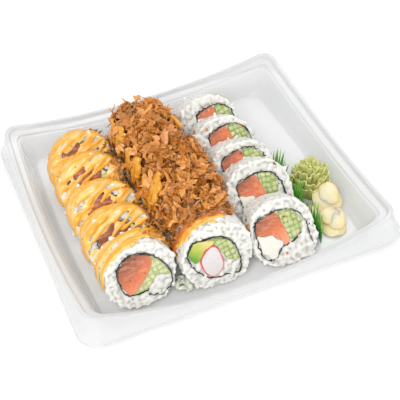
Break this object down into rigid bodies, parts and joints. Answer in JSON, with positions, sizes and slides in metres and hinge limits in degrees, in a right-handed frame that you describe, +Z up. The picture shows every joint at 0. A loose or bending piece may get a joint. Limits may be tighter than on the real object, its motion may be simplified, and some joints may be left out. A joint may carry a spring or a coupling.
{
  "type": "takeaway sushi tray",
  "caption": "Clear takeaway tray with rows of cut sushi rolls, fried onion, wasabi, pickled ginger and a leaf divider.",
  "frame": {"origin": "centre of the tray's underside, on the surface that it stands on", "axes": "+Z up; +X along the front side, to the right; +Y from the front side to the back"},
  "size_m": [0.202, 0.186, 0.0492],
  "materials": {
    "clear_sheet": "clear, slightly milky formed plastic sheet",
    "rice": "moist cooked white rice",
    "sauced_rice": "cut roll under glossy orange sauce",
    "glazed_rice": "cut roll under sauce and dark glaze",
    "fried_onion": "crisp brown fried flakes",
    "wasabi": "soft green paste",
    "ginger": "wet translucent pickled slice",
    "leaf_sheet": "thin green plastic film",
    "nori": "dark dried seaweed sheet",
    "salmon": "moist marbled raw salmon",
    "cucumber": "fresh cut cucumber sticks",
    "avocado": "ripe cut avocado",
    "crab_stick": "white stick with a red skin",
    "cream_cheese": "smooth soft cheese",
    "orange_sauce": "glossy orange sauce",
    "dark_glaze": "dark red-brown sticky glaze"
  },
  "bodies": {
    "root": {"tray": "clear_sheet", "roll_left_1": "sauced_rice", "roll_left_2": "sauced_rice", "roll_left_3": "sauced_rice", "roll_left_4": "sauced_rice", "roll_left_5": "sauced_rice", "roll_middle_1": "glazed_rice", "roll_middle_2": "glazed_rice", "roll_middle_3": "glazed_rice", "roll_middle_4": "glazed_rice", "roll_middle_5": "glazed_rice", "roll_right_1": "rice", "roll_right_2": "rice", "roll_right_3": "rice", "roll_right_4": "rice", "roll_right_5": "rice", "fried_onions": "fried_onion", "wasabi": "wasabi", "ginger_1": "ginger", "ginger_2": "ginger", "ginger_3": "ginger", "leaf_divider": "leaf_sheet"}
  },
  "joints": []
}
